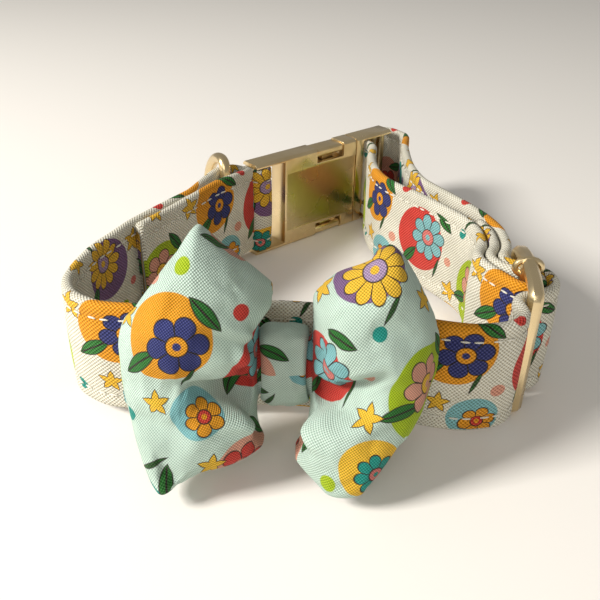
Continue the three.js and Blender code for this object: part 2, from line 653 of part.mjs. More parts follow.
function piece(name, geometry, finish) {
  const mesh = new THREE.Mesh(geometry, new THREE.MeshStandardMaterial(finish));
  mesh.name = name;
  return mesh;
}

const collar = new THREE.Group();
collar.add(piece('collar_strap', makeStrap(), printedCloth));

const buckle = new THREE.Group();
buckle.position.set(buckleCentre.x, buckleCentre.y, 0);
buckle.rotation.z = BUCKLE_YAW;
buckle.add(piece('buckle_socket', makeSocket(), goldMetal));
buckle.add(piece('buckle_plug', makePlug(), goldMetal));
const lowerButton = piece('button_lower', makeButton(), goldMetal);
lowerButton.position.set(BUTTON_CENTRE, 0, BUTTON_INSET);
const upperButton = piece('button_upper', makeButton(), goldMetal);
upperButton.position.set(BUTTON_CENTRE, 0, buckleHeight - BUTTON_INSET);
upperButton.rotation.x = Math.PI;
buckle.add(lowerButton, upperButton);
collar.add(buckle);

const slider = piece('strap_slider', makeSlider(), goldMetal);
slider.position.set(sliderCentre.x, sliderCentre.y, 0);
slider.rotation.z = SLIDER_YAW;
collar.add(slider);

const ring = piece('leash_ring', makeRing(), goldMetal);
const ringAt = plan(ringRow.across, ringRow.back);
ring.position.set(ringAt.x, ringAt.y, ringMiddle);
ring.rotation.z = RING_YAW;
collar.add(ring);

const bow = new THREE.Group();
const frontFace = plan(0, bowRow.back).y - STRAP_THICKNESS / 2;
const knotReach = (NECK_HALF_DEPTH + LAYER_GAP + KNOT_THICKNESS) * Math.cos(BOW_TILT)
  + (NECK_HALF_HEIGHT + KNOT_THICKNESS) * Math.sin(-BOW_TILT) * 0.6;
bow.position.set(BOW_AT.across * LOOP_WIDTH, frontFace - LAYER_GAP - knotReach,
  STRAP_LIFT + bowRow.lift + BOW_AT.height * STRAP_WIDTH);
bow.rotation.x = BOW_TILT;
bow.add(piece('bow_body', makeBow(), bowCloth));
bow.add(piece('bow_knot', makeKnot(), bowCloth));
collar.add(bow);

// The origin is under the middle of the whole collar, on the ground
const box = new THREE.Box3().setFromObject(collar, true);
const centre = box.getCenter(new THREE.Vector3());
collar.position.set(-centre.x, -centre.y, -box.min.z);

export default collar;
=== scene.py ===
# %% [markdown]
# # Pet bow tie collar
# A small collar stands on its edge: a printed cloth strap, a light gold metal buckle at the
# back, a leash ring, a strap slider and a padded bow at the front. The hard pieces come from
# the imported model, which is loaded first and never moved. The soft ones are made again here
# with finer cloth shapes, and everything gets a procedural finish.

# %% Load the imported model
import math

import bmesh
import bpy
from mathutils import Matrix, Quaternion, Vector
from mathutils.noise import noise


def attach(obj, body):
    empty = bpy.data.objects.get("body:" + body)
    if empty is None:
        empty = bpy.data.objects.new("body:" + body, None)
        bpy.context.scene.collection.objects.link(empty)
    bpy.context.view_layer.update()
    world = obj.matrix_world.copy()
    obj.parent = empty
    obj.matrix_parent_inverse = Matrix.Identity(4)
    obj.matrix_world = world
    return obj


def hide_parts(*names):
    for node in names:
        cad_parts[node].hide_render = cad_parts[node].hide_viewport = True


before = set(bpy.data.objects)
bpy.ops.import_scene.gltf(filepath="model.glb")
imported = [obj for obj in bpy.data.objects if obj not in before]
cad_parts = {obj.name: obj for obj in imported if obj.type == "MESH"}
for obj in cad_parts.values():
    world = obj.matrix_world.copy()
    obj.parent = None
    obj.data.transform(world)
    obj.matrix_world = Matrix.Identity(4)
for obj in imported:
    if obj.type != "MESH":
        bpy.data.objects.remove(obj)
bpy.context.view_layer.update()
MM = 0.001

# %% [markdown]
# The camera looks down at the front of the bow from about thirty degrees. It sits close to
# the collar, so the bow looks large and the buckle small, and it leans by about one degree.
# The picture keeps the plain display colours, so that the print stays vivid.

# %% Camera
CAMERA_AIM = Vector((-2.66, -0.94, 2.6)) * MM
CAMERA_DISTANCE = 192.2 * MM
CAMERA_ELEVATION = math.radians(30.67)
CAMERA_LEAN = math.radians(1.32)

camera_data = bpy.data.cameras.new("camera")
camera_data.lens = 44.3
camera_data.sensor_width = 36.0
camera_data.clip_start = 0.01
camera = bpy.data.objects.new("camera", camera_data)
bpy.context.scene.collection.objects.link(camera)
away = Vector((0.0, -math.cos(CAMERA_ELEVATION), math.sin(CAMERA_ELEVATION)))
camera.location = CAMERA_AIM + away * CAMERA_DISTANCE
camera.rotation_mode = "QUATERNION"
camera.rotation_quaternion = (-away).to_track_quat("-Z", "Y") @ Quaternion((0, 0, 1), CAMERA_LEAN)
bpy.context.scene.camera = camera
bpy.context.scene.view_settings.view_transform = "Standard"
print("camera at", [round(v / MM) for v in camera.location], "mm")

# %% [markdown]
# A finish is a tree of nodes. This small helper adds nodes to one tree and joins them, so the
# finishes below can be read as sums: each call makes one node and gives back its output.

# %% A helper for finishes
class Nodes:
    def __init__(self, tree):
        self.tree = tree

    def add(self, kind, inputs=(), **settings):
        node = self.tree.nodes.new(kind)
        for name, value in settings.items():
            setattr(node, name, value)
        for key, value in dict(inputs).items():
            if isinstance(value, bpy.types.NodeSocket):
                self.tree.links.new(value, node.inputs[key])
            else:
                node.inputs[key].default_value = value
        return node

    def math(self, operation, a, b=0.0, c=0.0):
        return self.add("ShaderNodeMath", {0: a, 1: b, 2: c}, operation=operation).outputs[0]

    def split(self, vector):
        node = self.add("ShaderNodeSeparateXYZ", {0: vector})
        return node.outputs[0], node.outputs[1]

    def ease(self, value, low, high):
        """0 below low, 1 above high, smooth between"""
        node = self.add("ShaderNodeMapRange", {"Value": value, "From Min": low, "From Max": high},
                        interpolation_type="SMOOTHSTEP")
        return node.outputs[0]

    def mix(self, share, a, b, blend="MIX"):
        node = self.add("ShaderNodeMix", data_type="RGBA", blend_type=blend)
        for index, value in ((0, share), (6, a), (7, b)):
            if isinstance(value, bpy.types.NodeSocket):
                self.tree.links.new(value, node.inputs[index])
            else:
                node.inputs[index].default_value = value
        return node.outputs[2]

    def speckle(self, vector, scale, detail=2.0):
        return self.add("ShaderNodeTexNoise", {"Vector": vector, "Scale": scale, "Detail": detail}
                        ).outputs[0]


def paint(red, green, blue):
    """A colour as a display shows it, 0 to 255, as the light values that a shader uses"""
    def light(value):
        value /= 255
        return value / 12.92 if value <= 0.04045 else ((value + 0.055) / 1.055) ** 2.4
    return (light(red), light(green), light(blue), 1.0)


def new_finish(name):
    finish = bpy.data.materials.new(name)
    finish.use_nodes = True
    nodes = Nodes(finish.node_tree)
    return finish, nodes, finish.node_tree.nodes["Principled BSDF"]


print("an orange in light values:", [round(v, 2) for v in paint(240, 158, 48)])

# %% [markdown]
# The cloth's print is made of plain discs, faceless rosettes, leaves, stars and dots. Each is
# a distance inside its outline, in millimetres on the flat cloth, and a tile of them repeats.
# Drawing by distance keeps every outline crisp at any size, with no image.

# %% Motifs of the print
TILE = (66.0, 54.8)
INK = paint(40, 28, 24)
RED, ROSE, SALMON = paint(212, 60, 50), paint(222, 122, 116), paint(226, 160, 138)
ORANGE, YELLOW, LIME = paint(234, 156, 20), paint(242, 190, 50), paint(174, 198, 14)
TEAL, SKY, NAVY = paint(20, 148, 136), paint(132, 190, 196), paint(48, 54, 118)
PURPLE, LILAC, LEAF = paint(126, 92, 138), paint(176, 148, 186), paint(36, 114, 40)

DISCS = [(9.0, 13.0, 8.6, RED), (34.0, 8.0, 9.2, LIME), (55.0, 19.0, 7.8, ORANGE),
         (22.0, 33.0, 7.2, PURPLE), (45.0, 39.0, 8.8, TEAL), (2.0, 43.0, 7.8, SALMON),
         (24.5, 49.0, 5.6, YELLOW), (60.0, 3.0, 5.0, SKY)]
ROSETTES = [(12.0, 14.5, 6.2, 8, SKY, ROSE), (33.0, 10.0, 5.6, 6, SALMON, YELLOW),
            (57.0, 18.0, 5.4, 6, NAVY, ORANGE), (23.5, 31.0, 6.0, 11, YELLOW, LILAC),
            (47.5, 37.5, 5.8, 8, PURPLE, YELLOW), (0.5, 44.5, 5.2, 6, RED, SALMON),
            (25.5, 48.0, 4.0, 8, TEAL, ROSE), (61.0, 2.0, 3.8, 6, ORANGE, RED)]
LEAVES = [(5.2, 7.0, 4.2, 1.5, 50), (16.0, 7.5, 3.4, 0.5, 75), (42.5, 30.5, 3.6, 0.5, 40),
          (8.5, 36.5, 3.4, 0.5, -20), (59.5, 12.0, 3.2, 0.5, 70), (26.0, 24.5, 3.2, 0.5, 65),
          (50.5, 49.5, 3.4, 0.5, 20), (17.0, 20.5, 3.6, 1.3, -30), (27.5, 5.0, 4.4, 1.5, 20),
          (38.8, 15.5, 4.0, 1.4, -55), (50.2, 14.0, 4.4, 1.6, 35), (61.0, 24.0, 3.8, 1.4, -40),
          (28.5, 38.0, 4.0, 1.4, 60), (40.5, 43.5, 4.6, 1.7, -25), (52.5, 46.0, 3.6, 1.3, 75),
          (63.0, 37.5, 4.2, 1.5, 15), (8.0, 50.0, 3.8, 1.4, -60)]
STARS = [(21.5, 3.5, 3.3, 10), (45.0, 22.0, 3.4, 25), (33.5, 25.5, 2.9, 0), (12.0, 30.0, 3.4, 40),
         (53.0, 6.5, 2.8, 15), (34.5, 46.5, 3.2, 30), (60.5, 47.0, 2.8, 5)]
DOTS = [(1.0, 25.0, 1.4, RED), (20.0, 11.0, 1.2, SALMON), (45.5, 3.0, 1.4, TEAL), (17.5, 45.0, 1.5, LIME),
        (37.0, 33.0, 1.2, PURPLE), (64.0, 9.5, 1.4, SALMON), (56.5, 31.0, 1.5, LIME),
        (13.5, 40.0, 1.1, ROSE), (24.0, 20.5, 1.3, TEAL), (36.5, 53.0, 1.3, RED), (50.5, 29.0, 1.1, SALMON)]


def from_centre(n, cloth, u, v, turn=0.0):
    """The place on the cloth seen from a motif's centre, in the nearest tile"""
    moved = n.add("ShaderNodeVectorMath", {0: cloth, 1: (u, v, 0)}, operation="SUBTRACT").outputs[0]
    half = (TILE[0] / 2, TILE[1] / 2, 1)
    near = n.add("ShaderNodeVectorMath", {0: moved, 1: half, 2: tuple(-h for h in half)},
                 operation="WRAP").outputs[0]
    if not turn:
        return near
    return n.add("ShaderNodeVectorRotate", {"Vector": near, "Angle": -math.radians(turn)},
                 rotation_type="Z_AXIS").outputs[0]


def reach_and_angle(n, place):
    x, y = n.split(place)
    reach = n.add("ShaderNodeVectorMath", {0: place}, operation="LENGTH").outputs["Value"]
    return reach, n.math("ARCTAN2", y, x)


def ink_over(n, ground, inside, fill, line=0.0):
    """Lays a motif on the ground where inside is above 0, with an outline line mm wide"""
    if line:
        ground = n.mix(n.ease(inside, -0.12, 0.12), ground, INK)
    return n.mix(n.ease(inside, line - 0.12, line + 0.12), ground, fill)


print(len(DISCS), "discs", len(ROSETTES), "rosettes", len(LEAVES), "leaves", len(STARS), "stars",
      len(DOTS), "dots in a tile of", TILE, "mm")

# %% [markdown]
# All motifs go into one node group, which the strap and the bow both use. Its inputs are the
# place on the cloth and the ground colour, so the two cloths can differ and still match.

# %% The print as a node group
print_group = bpy.data.node_groups.new("garden_print", "ShaderNodeTree")
print_group.interface.new_socket("Place", in_out="INPUT", socket_type="NodeSocketVector")
print_group.interface.new_socket("Ground", in_out="INPUT", socket_type="NodeSocketColor")
print_group.interface.new_socket("Colour", in_out="OUTPUT", socket_type="NodeSocketColor")
n = Nodes(print_group)
entry = n.add("NodeGroupInput")
cloth, colour = entry.outputs["Place"], entry.outputs["Ground"]

for u, v, radius, fill in DISCS + DOTS:
    place = from_centre(n, cloth, u, v)
    reach = n.add("ShaderNodeVectorMath", {0: place}, operation="LENGTH").outputs["Value"]
    colour = ink_over(n, colour, n.math("SUBTRACT", radius, reach), fill)

for u, v, half_length, half_width, turn in LEAVES:
    x, y = n.split(from_centre(n, cloth, u, v, turn))
    bow_shape = n.math("MULTIPLY_ADD", n.math("MULTIPLY", x, x), -half_width / half_length ** 2, half_width)
    across = n.math("ABSOLUTE", y)
    colour = ink_over(n, colour, n.math("SUBTRACT", bow_shape, across), LEAF, 0.22)
    vein = n.math("MULTIPLY", n.ease(across, 0.28, 0.08), n.ease(bow_shape, 0.3, 0.6))
    colour = n.mix(vein, colour, INK)

for u, v, radius, petals, fill, heart in ROSETTES:
    reach, angle = reach_and_angle(n, from_centre(n, cloth, u, v, 13.0))
    wave = n.math("ABSOLUTE", n.math("COSINE", n.math("MULTIPLY", angle, petals / 2)))
    rim = n.math("MULTIPLY_ADD", n.math("POWER", wave, 0.6), 0.34 * radius, 0.66 * radius)
    petal = n.mix(n.ease(wave, 0.22, 0.08), fill, INK)
    colour = ink_over(n, colour, n.math("SUBTRACT", rim, reach), petal, 0.26)
    colour = ink_over(n, colour, n.math("SUBTRACT", 0.36 * radius, reach), heart, 0.24)
    colour = ink_over(n, colour, n.math("SUBTRACT", 0.13 * radius, reach), fill)

for u, v, radius, turn in STARS:
    reach, angle = reach_and_angle(n, from_centre(n, cloth, u, v, turn))
    fall = n.math("MULTIPLY", n.math("PINGPONG", angle, math.pi / 5), 5 / math.pi)
    rim = n.math("MULTIPLY_ADD", n.math("POWER", fall, 0.7), -0.56 * radius, radius)
    colour = ink_over(n, colour, n.math("SUBTRACT", rim, reach), YELLOW, 0.26)

leave = n.add("NodeGroupOutput")
print_group.links.new(colour, leave.inputs["Colour"])
print(len(print_group.nodes), "nodes in the print")

# %% [markdown]
# The cloth is a plain weave, about half a millimetre from knuckle to knuckle. The knuckles
# stand up, catch the light and wear paler than the ink: their paler tops are partly worn ink
# and partly a painted highlight, and painted shade darkens the hollows between them. A map of
# millimetres on the flat cloth drives both the print and the weave, so both follow every fold.

# %% Printed cloth
def printed_cloth(name, ground, shade, offset, weave):
    """A finish of printed cloth; weave is half of the distance between knuckles, in mm"""
    finish, n, skin = new_finish(name)
    flat = n.add("ShaderNodeUVMap", uv_map="flat_cloth").outputs[0]
    u, v = n.split(flat)
    warp = n.math("COSINE", n.math("MULTIPLY", u, math.pi / weave))
    weft = n.math("COSINE", n.math("MULTIPLY", v, math.pi / weave))
    knuckle = n.ease(n.math("MULTIPLY", warp, weft), -0.9, 0.9)
    place = n.add("ShaderNodeVectorMath", {0: flat, 1: (*offset, 0)}, operation="ADD").outputs[0]
    printed = n.add("ShaderNodeGroup", node_tree=print_group)
    n.tree.links.new(place, printed.inputs["Place"])
    printed.inputs["Ground"].default_value = ground
    blotch = n.speckle(flat, 0.11, 3.0)
    slub = n.speckle(flat, 1.7, 1.0)
    # knuckle tops painted paler: partly worn ink, partly a painted highlight
    knuckle_wear_and_highlight = n.math("MULTIPLY", n.ease(knuckle, 0.55, 1.0), 0.05)
    worn_and_highlit = n.mix(knuckle_wear_and_highlight, printed.outputs[0], paint(238, 238, 226))
    # painted shade: the hollows between the knuckles are multiplied by the shade colour
    deep = n.mix(n.math("MULTIPLY", n.ease(knuckle, 0.7, 0.0), 0.7), worn_and_highlit, shade, "MULTIPLY")
    tone = n.mix(n.ease(blotch, 0.35, 0.7), (0.86, 0.86, 0.85, 1), (1, 1, 1, 1))
    n.tree.links.new(n.mix(1.0, deep, tone, "MULTIPLY"), skin.inputs["Base Color"])
    n.tree.links.new(n.math("MULTIPLY_ADD", slub, 0.2, 0.62), skin.inputs["Roughness"])
    height = n.math("MULTIPLY_ADD", slub, 0.35, knuckle)
    bump = n.add("ShaderNodeBump", {"Height": height, "Strength": 0.9, "Distance": 0.00018})
    n.tree.links.new(bump.outputs[0], skin.inputs["Normal"])
    skin.inputs["Sheen Weight"].default_value = 0.04
    skin.inputs["Sheen Roughness"].default_value = 0.4
    skin.inputs["Specular IOR Level"].default_value = 0.2
    return finish


# the second colour of each cloth is the painted shade for the hollows of its weave
strap_cloth = printed_cloth("strap_cloth", paint(232, 229, 214), paint(150, 138, 112), (28.0, 0.0), 0.42)
bow_cloth = printed_cloth("bow_cloth", paint(206, 226, 214), paint(140, 162, 150), (8.0, 6.0), 0.28)
knot_cloth = printed_cloth("knot_cloth", paint(208, 226, 214), paint(142, 164, 152), (3.0, 47.0), 0.28)
print("cloth finishes:", strap_cloth.name, bow_cloth.name, knot_cloth.name)

# %% [markdown]
# The sewing thread is thick white polyester. It is twisted, so fine slanting ridges run over
# each stitch; painted shade darkens the grooves between the ridges.

# %% Thread
thread, n, skin = new_finish("white_thread")
own_place = n.add("ShaderNodeTexCoord").outputs["Object"]
twist = n.add("ShaderNodeTexWave", {"Vector": own_place, "Scale": 1400.0, "Distortion": 1.0},
              wave_type="BANDS", bands_direction="DIAGONAL").outputs[0]
# painted shade: the twist's grooves get the darker colour, its ridges the paler one
n.tree.links.new(n.mix(twist, paint(196, 192, 176), paint(236, 232, 220)), skin.inputs["Base Color"])
bump = n.add("ShaderNodeBump", {"Height": twist, "Strength": 0.6, "Distance": 0.00008})
n.tree.links.new(bump.outputs[0], skin.inputs["Normal"])
skin.inputs["Roughness"].default_value = 0.6
skin.inputs["Sheen Weight"].default_value = 0.2
print("thread finish:", thread.name)

# %% [markdown]
# The metal is a cast alloy with light gold plating, polished and a little handled: faint
# smudges change its gloss, and hair-fine scratches lie along it.

# %% Gold plating
gold, n, skin = new_finish("light_gold")
own_place = n.add("ShaderNodeTexCoord").outputs["Object"]
smudge = n.speckle(own_place, 90.0, 4.0)
streak_space = n.add("ShaderNodeMapping", {"Vector": own_place, "Scale": (1.0, 1.0, 0.06)}).outputs[0]
scratch = n.speckle(streak_space, 2600.0, 3.0)
plating = n.mix(n.ease(smudge, 0.3, 0.75), paint(238, 216, 172), paint(220, 196, 150))
n.tree.links.new(plating, skin.inputs["Base Color"])
n.tree.links.new(n.math("MULTIPLY_ADD", smudge, 0.24, 0.16), skin.inputs["Roughness"])
bump = n.add("ShaderNodeBump", {"Height": n.math("MULTIPLY_ADD", smudge, 2.0, scratch),
                                "Strength": 0.12, "Distance": 0.00006})
n.tree.links.new(bump.outputs[0], skin.inputs["Normal"])
skin.inputs["Metallic"].default_value = 1.0
print("metal finish:", gold.name)

# %% [markdown]
# The strap is one long folded ribbon. It is sewn back on itself at one end, goes round the
# socket's bar, past the ring, along the front, through the slider, round the plug's bar and
# back through the slider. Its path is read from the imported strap: the flat lower edge has two
# rims, and the places halfway between them are the path, in millimetres.

# %% The strap's path
STRAP_WIDTH, STRAP_THICKNESS = 25.0, 2.4
PATH_STEP = 1.2


def lower_edge_line(node):
    """The middle of the strap's lower edge, from its sewn end to its free end"""
    bm = bmesh.new()
    bm.from_mesh(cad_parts[node].data)
    bmesh.ops.remove_doubles(bm, verts=bm.verts, dist=1e-6)
    bm.normal_update()
    under = {face for face in bm.faces if face.normal.z < -0.9}
    rims = [e for e in bm.edges if len(under.intersection(e.link_faces)) == 1]
    ends = [e for e in rims if any(abs(face.normal.z) < 0.3 for face in e.link_faces)]
    sides = set(rims) - set(ends)
    rails = []
    for corner in min(ends, key=lambda e: e.verts[0].co.x).verts:
        rail, done = [corner], set()
        while onward := [e for e in rail[-1].link_edges if e in sides and e not in done]:
            done.add(onward[0])
            rail.append(onward[0].other_vert(rail[-1]))
        rails.append([vert.co.copy() for vert in rail])
    bm.free()
    return [(a + b) / 2 / MM for a, b in zip(*rails)]


def along_curve(points, step):
    """Evenly spaced places on a smooth curve through the points"""
    fine = []
    for i in range(len(points) - 1):
        a, b, c, d = (points[max(i - 1, 0)], points[i], points[i + 1], points[min(i + 2, len(points) - 1)])
        for k in range(8):
            t = k / 8
            fine.append(0.5 * (2 * b + (c - a) * t + (2 * a - 5 * b + 4 * c - d) * t ** 2
                               + (3 * b - a - 3 * c + d) * t ** 3))
    fine.append(points[-1])
    lengths = [0.0]
    for a, b in zip(fine, fine[1:]):
        lengths.append(lengths[-1] + (b - a).length)
    count = round(lengths[-1] / step)
    even, j = [], 0
    for i in range(count + 1):
        wanted = lengths[-1] * i / count
        while j < len(fine) - 2 and lengths[j + 1] < wanted:
            j += 1
        share = (wanted - lengths[j]) / max(lengths[j + 1] - lengths[j], 1e-9)
        even.append(fine[j].lerp(fine[j + 1], min(max(share, 0.0), 1.0)))
    return even, lengths[-1]


strap_line, strap_length = along_curve(lower_edge_line("collar_strap"), PATH_STEP)
strap_left = []
for i, here in enumerate(strap_line):
    ahead = strap_line[min(i + 1, len(strap_line) - 1)] - strap_line[max(i - 1, 0)]
    strap_left.append(Vector((-ahead.y, ahead.x, 0)).normalized())
print("strap length", round(strap_length), "mm in", len(strap_line), "places")

# %% [markdown]
# The strap starts as a flat grid, as cloth is cut: one way along it, the other round its
# section. The grid is then bent along the path and its long edges are merged. Because the
# grid knows its flat size, the print needs no unwrapping. The section is pressed in along two
# lines where the stitches pull the layers together.

# %% The strap's section
SEAM_INSET, SEAM_SINK = 3.4, 0.42
half = STRAP_THICKNESS / 2
heights = [0.8, 2.3, SEAM_INSET, 4.5, 8.0, 12.5, 17.0, 20.5, STRAP_WIDTH - SEAM_INSET, 22.7, 24.2]
sinks = [0.10, 0.02, SEAM_SINK, 0.02, -0.10, -0.14, -0.10, 0.02, SEAM_SINK, 0.02, 0.10]
outer_face = [(-half + sink, z) for z, sink in zip(heights, sinks)]
top_edge = [(-0.55 * half, 24.85), (0.0, STRAP_WIDTH), (0.55 * half, 24.85)]
inner_face = [(-n_, z) for n_, z in reversed(outer_face)]
low_edge = [(0.55 * half, 0.15), (0.0, 0.0), (-0.55 * half, 0.15)]
section = outer_face + top_edge + inner_face + low_edge
section_run = [0.0]
for a, b in zip(section, section[1:] + section[:1]):
    section_run.append(section_run[-1] + math.dist(a, b))
print("section of", len(section), "points,", round(section_run[-1], 1), "mm round")

# %% Bend the strap
def strap_place(index, out, height):
    here, left = strap_line[index], strap_left[index]
    ripple = 0.16 * noise(Vector((index * 0.11, height * 0.12, 3.0)))
    sway = 0.12 * noise(Vector((index * 0.06, 9.0, 1.0)))
    return Vector((here.x + left.x * (out + ripple * (1 if out > 0 else -1) * 0.6),
                   here.y + left.y * (out + ripple * (1 if out > 0 else -1) * 0.6),
                   here.z + height + sway)) * MM


def cloth_grid(columns, rows, flat_size, place, seam=lambda a, b: False):
    """A flat grid of cloth, mapped in mm of the flat cloth, then put in its place"""
    bm = bmesh.new()
    flat = bm.loops.layers.uv.new("flat_cloth")
    bmesh.ops.create_grid(bm, x_segments=columns, y_segments=rows, size=1.0)
    cells = {v: (round((v.co.x + 1) / 2 * columns), round((v.co.y + 1) / 2 * rows)) for v in bm.verts}
    for face in bm.faces:
        for loop in face.loops:
            loop[flat].uv = flat_size(*cells[loop.vert])
    for edge in bm.edges:
        edge.seam = seam(*(cells[v] for v in edge.verts))
    for vert, cell in cells.items():
        vert.co = place(*cell)
    bmesh.ops.remove_doubles(bm, verts=bm.verts, dist=1e-6)
    bmesh.ops.holes_fill(bm, edges=[e for e in bm.edges if e.is_boundary], sides=0)
    bmesh.ops.recalc_face_normals(bm, faces=bm.faces)
    for face in bm.faces:
        face.smooth = True
    return bm


def finished(bm, name, finish, body, *nodes):
    """Makes a piece of a bmesh, gives it its finish and sets it on its body"""
    mesh = bpy.data.meshes.new(name)
    bm.to_mesh(mesh)
    bm.free()
    mesh.materials.append(finish)
    piece = bpy.data.objects.new(name, mesh)
    bpy.context.scene.collection.objects.link(piece)
    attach(piece, body)
    if nodes:
        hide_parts(*nodes)
    return piece


strap_steps = len(strap_line) - 1
strap_bm = cloth_grid(
    strap_steps, len(section),
    lambda i, j: (strap_length * i / strap_steps, section_run[j]),
    lambda i, j: strap_place(i, *section[j % len(section)]))
strap = finished(strap_bm, "strap", strap_cloth, "collar", "collar_strap")
print("strap:", len(strap.data.polygons), "faces")

# %% [markdown]
# Two rows of stitches run along the strap on both faces. Each stitch is a small real bead of
# thread that lies in the pressed line. Where the cloth is doubled, short rows cross the strap
# on both sides of the ring and at the sewn end.

# %% Stitches
STITCH, STITCH_EVERY, THREAD_RADIUS = 2.1, 3.0, 0.22


bead_bm = bmesh.new()
bmesh.ops.create_uvsphere(bead_bm, u_segments=6, v_segments=6, radius=1.0)
bead = bpy.data.meshes.new("one_stitch")
bead_bm.to_mesh(bead)
bead_bm.free()


def sew(bm, centre, along, out, length):
    """Adds one stitch: the bead, stretched along the seam and set into the cloth"""
    turn = Matrix((along, out.cross(along), out)).transposed().to_4x4()
    size = Matrix.Diagonal((length / 2 * MM, THREAD_RADIUS * MM, THREAD_RADIUS * MM, 1))
    there = Matrix.Translation(centre) @ turn @ size
    bead.transform(there)
    bm.from_mesh(bead)
    bead.transform(there.inverted())


def strap_face(index, side, height, sink):
    """A place on one face of the strap, with the ways along it and out of it"""
    ahead = strap_line[min(index + 1, strap_steps)] - strap_line[max(index - 1, 0)]
    return strap_place(index, side * (half - sink), height), ahead.normalized(), strap_left[index] * side


stitch_bm = bmesh.new()
gap = STITCH_EVERY / (strap_length / strap_steps)
for count in range(int(strap_steps / gap)):
    for side in (-1, 1):
        for height in (SEAM_INSET, STRAP_WIDTH - SEAM_INSET):
            centre, ahead, out = strap_face(round((count + 0.5) * gap), side, height, SEAM_SINK - 0.18)
            sew(stitch_bm, centre, ahead, out, STITCH)


def index_near(x, y, first, last):
    """The place on the path, between two shares of its length, that is nearest to x, y"""
    low, high = round(first * strap_steps), round(last * strap_steps)
    return min(range(low, high), key=lambda i: (strap_line[i].xy - Vector((x, y))).length)


CROSS_ROWS = [(-39.0, -9.0, 0.0, 0.04, 1), (-37.6, -6.8, 0.0, 0.04, 1), (-28.0, 9.5, 0.0, 0.06, 1),
              (-17.9, 26.3, 0.02, 0.06, 1), (-29.0, 15.5, 0.08, 0.14, -1), (-22.2, 28.4, 0.06, 0.12, -1)]
for x, y, first, last, side in CROSS_ROWS:
    index = index_near(x, y, first, last)
    for step in range(7):
        centre, ahead, out = strap_face(index, side, 4.6 + step * 2.65, 0.0)
        sew(stitch_bm, centre, Vector((0, 0, 1)), out, 2.0)
bpy.data.meshes.remove(bead)
for face in stitch_bm.faces:
    face.smooth = True
stitches = finished(stitch_bm, "strap_stitches", thread, "collar")
print("stitches:", len(stitches.data.polygons), "faces")

# %% [markdown]
# The hard pieces of the buckle, its buttons and the slider keep the model's shape. Real cast
# pieces have no knife edges, so a copy of each is welded, its flat faces are joined, and the
# edges that remain are rounded by a fifth of a millimetre. The copy then stands for its node.

# %% Rounded metal pieces
def rounded_copy(node, name, body, radius, sharp=28.0):
    bm = bmesh.new()
    bm.from_mesh(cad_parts[node].data)
    bmesh.ops.remove_doubles(bm, verts=bm.verts, dist=1e-6)
    bmesh.ops.dissolve_limit(bm, angle_limit=math.radians(1.0), verts=bm.verts, edges=bm.edges)
    edges = [e for e in bm.edges if e.is_manifold and e.calc_face_angle(0.0) > math.radians(sharp)]
    bmesh.ops.bevel(bm, geom=edges, offset=radius * MM, offset_type="OFFSET", affect="EDGES",
                    segments=2, profile=0.5, material=-1, clamp_overlap=True)
    for face in bm.faces:
        face.smooth = True
    for edge in bm.edges:
        edge.smooth = edge.calc_face_angle(0.0) < math.radians(40)
    piece = finished(bm, name, gold, body, node)
    return piece


socket = rounded_copy("buckle_socket", "socket", "collar", 0.22)
plug = rounded_copy("buckle_plug", "plug", "collar", 0.22)
upper_button = rounded_copy("button_upper", "upper_push_button", "upper_button", 0.25)
lower_button = rounded_copy("button_lower", "lower_push_button", "lower_button", 0.25)
slider = rounded_copy("strap_slider", "slider", "collar", 0.2, sharp=40.0)
print("metal faces:", [len(o.data.polygons) for o in (socket, plug, upper_button, lower_button, slider)])

# %% [markdown]
# The leash ring is bent from one round wire. A welded copy of the model's ring is smoothed by
# a subdivision surface, which makes the wire round.

# %% Leash ring
ring_bm = bmesh.new()
ring_bm.from_mesh(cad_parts["leash_ring"].data)
bmesh.ops.remove_doubles(ring_bm, verts=ring_bm.verts, dist=1e-6)
bmesh.ops.join_triangles(ring_bm, faces=ring_bm.faces, angle_face_threshold=math.radians(30),
                         angle_shape_threshold=math.radians(60))
for face in ring_bm.faces:
    face.smooth = True
ring = finished(ring_bm, "wire_ring", gold, "ring", "leash_ring")
rounding = ring.modifiers.new("rounding", "SUBSURF")
rounding.levels = rounding.render_levels = 2
print("ring faces before rounding:", len(ring.data.polygons))

# %% [markdown]
# The bow is two sewn cloth pockets, lightly filled and gathered in the middle. Its shape is a
# row of soft sections from one side to the other. Deep folds leave the knot where the cloth is
# pinched, and small pleats fan out round it. They are pressed into the sections, because each
# one has its known place, and the cloth settles round them afterwards.

# %% The bow's sections
BOW_CENTRE = Vector((-5.26, -51.86, 18.6))
BOW_TILT = math.radians(-12)
HALF_WIDTH, HALF_HEIGHT, HALF_DEPTH = 29.5, 25.0, 10.0
NECK_HEIGHT, NECK_DEPTH = 5.9, 3.3
